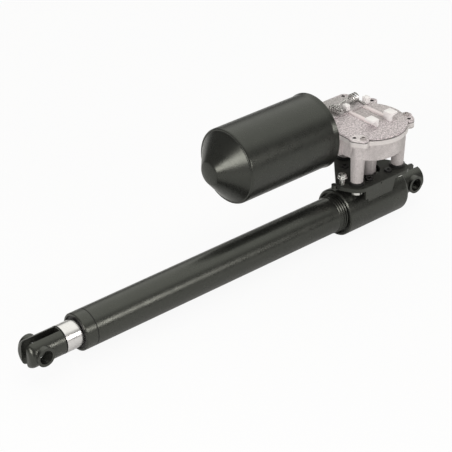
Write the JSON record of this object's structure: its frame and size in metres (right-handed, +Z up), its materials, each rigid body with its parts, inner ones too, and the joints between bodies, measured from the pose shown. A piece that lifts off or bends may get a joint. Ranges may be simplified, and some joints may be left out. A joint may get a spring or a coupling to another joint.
{
  "type": "electric linear actuator",
  "caption": "Electric linear actuator: a booted worm gearmotor on a bracket turns a lead screw that drives a bright rod from a black tube, with a slotted clevis at each end.",
  "frame": {"origin": "centre of the rear pivot bore, on the screw's axis", "axes": "+X the way the rod extends, +Y along the pivot bores to the bracket's open side, +Z up through the gearbox"},
  "size_m": [0.5178, 0.1224, 0.1468],
  "materials": {
    "black_paint": "satin black paint over steel",
    "cast_metal": "as-cast, lightly grained",
    "lid_metal": "sandy as-cast face",
    "boot_rubber": "smooth moulded black rubber",
    "soft_rubber": "matt black rubber",
    "polished_rod": "bright ground and plated",
    "zinc": "bright zinc plate",
    "black_steel": "black oxide",
    "steel": "machined steel",
    "bronze": "sintered bronze",
    "copper": "enamelled copper",
    "strip_metal": "tinned strip",
    "choke_wire": "tinned wire",
    "white_plastic": "moulded white",
    "gear_plastic": "natural nylon",
    "dark_plastic": "moulded phenolic",
    "ferrite": "sintered ferrite"
  },
  "bodies": {
    "frame": {"rear_clevis": "black_paint", "rear_bushes": "black_paint", "rear_housing": "black_paint", "outer_tube": "black_paint", "front_cap": "black_paint", "rod_guide": "bronze", "rod_seal": "soft_rubber", "bearing_outer": "steel", "output_bush": "bronze", "gearbox_case": "cast_metal", "gearbox_lid": "lid_metal", "lid_gasket": "soft_rubber", "lid_screws": "zinc", "contact_strips": "strip_metal", "lead_posts": "white_plastic", "terminal_blocks": "white_plastic", "choke_coils": "choke_wire", "motor_bracket": "black_paint", "leg_grommets": "soft_rubber", "leg_washers": "zinc", "leg_bolts": "zinc", "bracket_screws": "black_steel", "earth_screw": "zinc", "motor_boot": "boot_rubber", "motor_can": "steel", "field_magnets": "ferrite", "brush_holder": "dark_plastic", "carbon_brushes": "dark_plastic", "armature_bushes": "bronze", "motor_screws": "zinc"},
    "armature": {"armature_shaft": "steel", "armature_core": "steel", "armature_windings": "copper", "commutator": "copper"},
    "output": {"worm_wheel": "gear_plastic", "output_shaft": "steel", "mitre_pinion": "steel"},
    "screw": {"lead_screw": "steel", "mitre_gear": "steel", "bearing_inner": "steel"},
    "cage": {"ball_cage": "steel"},
    "extension": {"rod": "polished_rod", "lead_nut": "bronze", "front_clevis": "black_paint", "front_bushes": "black_paint"}
  },
  "joints": [
    {"name": "armature_spin", "type": "hinge", "parent": "frame", "child": "armature", "pos_m": [0.104, -0.04, 0.08], "axis": [1, 0, 0], "range_deg": [0, 396000]},
    {"name": "output_spin", "type": "hinge", "parent": "frame", "child": "output", "pos_m": [0.062, 0, 0], "axis": [0, 0, 1], "range_deg": [-1, 9001]},
    {"name": "screw_spin", "type": "hinge", "parent": "frame", "child": "screw", "pos_m": [0.062, 0, 0], "axis": [1, 0, 0], "range_deg": [-9001, 1]},
    {"name": "cage_spin", "type": "hinge", "parent": "frame", "child": "cage", "pos_m": [0.086, 0, 0], "axis": [1, 0, 0], "range_deg": [-3243, 1]},
    {"name": "rod_slide", "type": "slide", "parent": "frame", "child": "extension", "axis": [1, 0, 0], "range_m": [0, 0.25]}
  ],
  "couplings": [
    {"joint": "output_spin", "follows": "armature_spin", "ratio": 0.022727},
    {"joint": "screw_spin", "follows": "armature_spin", "ratio": -0.022727},
    {"joint": "cage_spin", "follows": "armature_spin", "ratio": -0.0081836},
    {"joint": "rod_slide", "follows": "armature_spin", "m_per_rad": 0.000036172}
  ]
}
